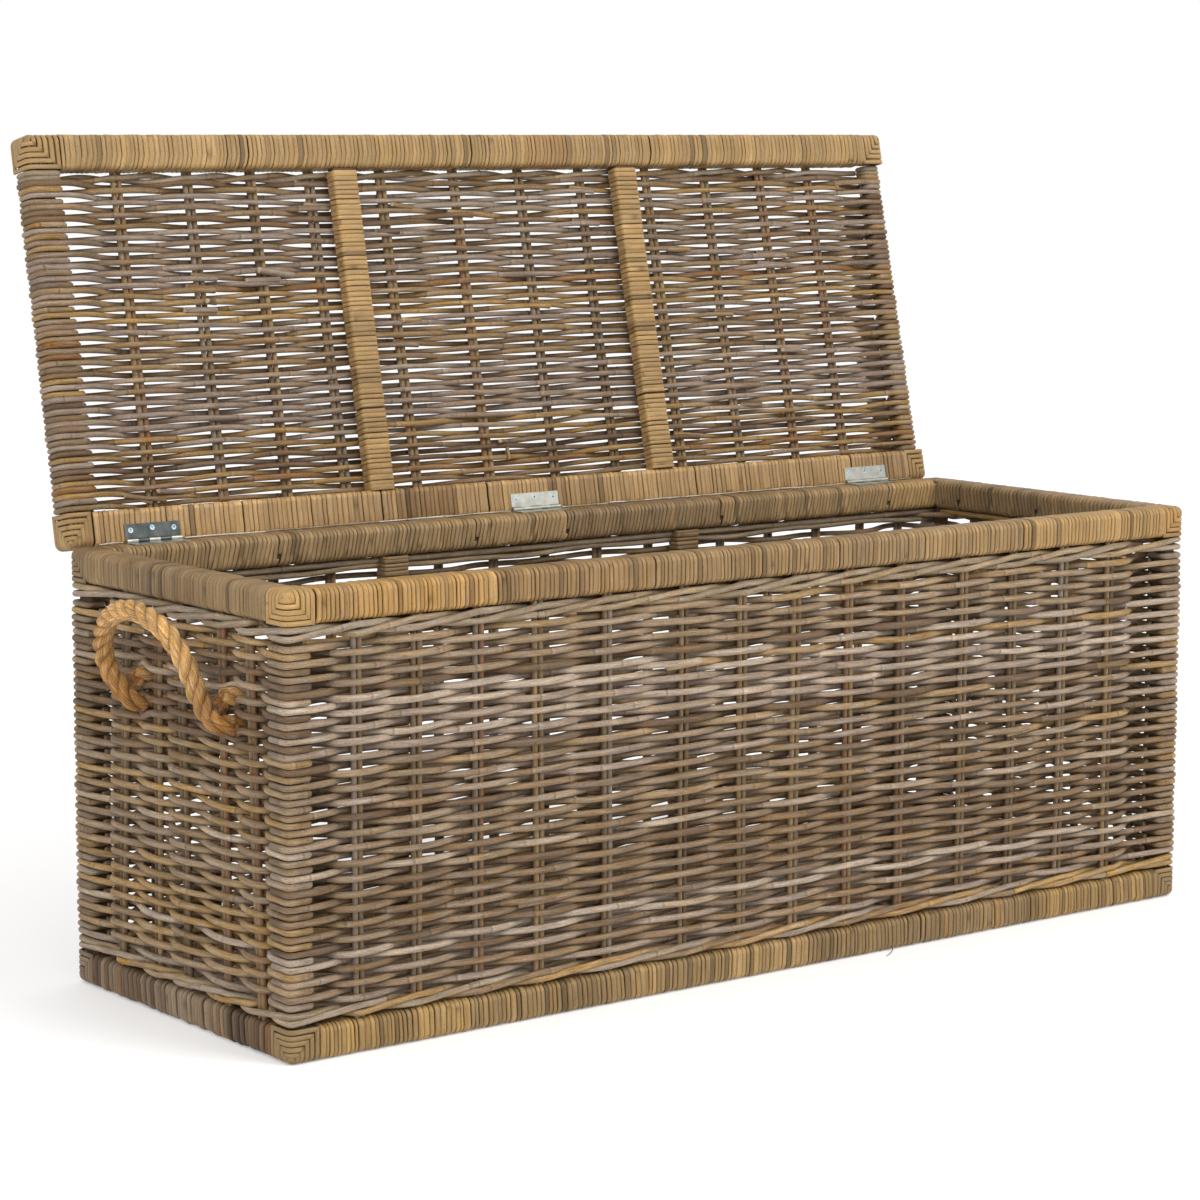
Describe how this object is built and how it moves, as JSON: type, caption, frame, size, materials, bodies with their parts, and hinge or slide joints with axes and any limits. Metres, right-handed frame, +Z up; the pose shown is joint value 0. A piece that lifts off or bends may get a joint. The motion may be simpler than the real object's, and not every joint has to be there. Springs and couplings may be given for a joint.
{
  "type": "woven rattan storage trunk",
  "caption": "Long woven rattan storage trunk with strip-wrapped rails, a hinged woven lid standing open, and rope side handles.",
  "frame": {"origin": "middle of the footprint, on the underside that stands on the floor", "axes": "+X along the trunk towards its right-hand end, +Y to the hinged back, +Z up"},
  "size_m": [1.3084, 0.525, 0.8646],
  "materials": {
    "rattan_strip": "satin",
    "kubu_weave": "matte",
    "stake_rods": "matte",
    "frame_cane": "matte",
    "manila_rope": "matte",
    "zinc_plate": "satin"
  },
  "bodies": {
    "trunk_body": {"back_stakes": "stake_rods", "back_wall_weave": "kubu_weave", "base_back_rail_wrap": "rattan_strip", "base_corner_wraps": "rattan_strip", "base_front_rail_wrap": "rattan_strip", "base_left_rail_wrap": "rattan_strip", "base_rails": "frame_cane", "base_right_rail_wrap": "rattan_strip", "body_hinge_screws": "zinc_plate", "corner_posts": "frame_cane", "corner_weave": "kubu_weave", "floor_slat_left": "frame_cane", "floor_slat_middle": "frame_cane", "floor_slat_right": "frame_cane", "floor_weave": "kubu_weave", "front_stakes": "stake_rods", "front_wall_weave": "kubu_weave", "hinge_pins": "zinc_plate", "left_handle_tails": "manila_rope", "left_hinge_body_leaf": "zinc_plate", "left_stakes": "stake_rods", "left_wall_weave": "kubu_weave", "mid_post_wraps": "rattan_strip", "mid_posts": "frame_cane", "middle_hinge_body_leaf": "zinc_plate", "right_handle_tails": "manila_rope", "right_hinge_body_leaf": "zinc_plate", "right_stakes": "stake_rods", "right_wall_weave": "kubu_weave", "rim_back_rail": "frame_cane", "rim_back_rail_wrap": "rattan_strip", "rim_corner_wraps": "rattan_strip", "rim_front_rail": "frame_cane", "rim_front_rail_wrap": "rattan_strip", "rim_left_rail": "frame_cane", "rim_left_rail_wrap": "rattan_strip", "rim_right_rail": "frame_cane", "rim_right_rail_wrap": "rattan_strip"},
    "lid": {"left_hinge_lid_leaf": "zinc_plate", "lid_back_rail": "frame_cane", "lid_back_rail_wrap": "rattan_strip", "lid_corner_wraps": "rattan_strip", "lid_front_rail": "frame_cane", "lid_front_rail_wrap": "rattan_strip", "lid_hinge_screws": "zinc_plate", "lid_left_bar": "frame_cane", "lid_left_bar_wrap": "rattan_strip", "lid_left_rail": "frame_cane", "lid_right_bar": "frame_cane", "lid_right_bar_wrap": "rattan_strip", "lid_right_rail": "frame_cane", "lid_side_weave": "kubu_weave", "lid_stakes": "stake_rods", "lid_weave": "kubu_weave", "middle_hinge_lid_leaf": "zinc_plate", "right_hinge_lid_leaf": "zinc_plate"},
    "left_handle": {"left_handle_rope": "manila_rope"},
    "right_handle": {"right_handle_rope": "manila_rope"}
  },
  "joints": [
    {"name": "lid_hinge", "type": "hinge", "parent": "trunk_body", "child": "lid", "pos_m": [0, 0.199, 0.4525], "axis": [1, 0, 0], "range_deg": [0, 102.7]},
    {"name": "left_handle_swing", "type": "hinge", "parent": "trunk_body", "child": "left_handle", "pos_m": [-0.611, 0, 0.311], "axis": [0, -1, 0], "range_deg": [-14, 152]},
    {"name": "right_handle_swing", "type": "hinge", "parent": "trunk_body", "child": "right_handle", "pos_m": [0.611, 0, 0.311], "axis": [0, 1, 0], "range_deg": [-14, 152]}
  ]
}
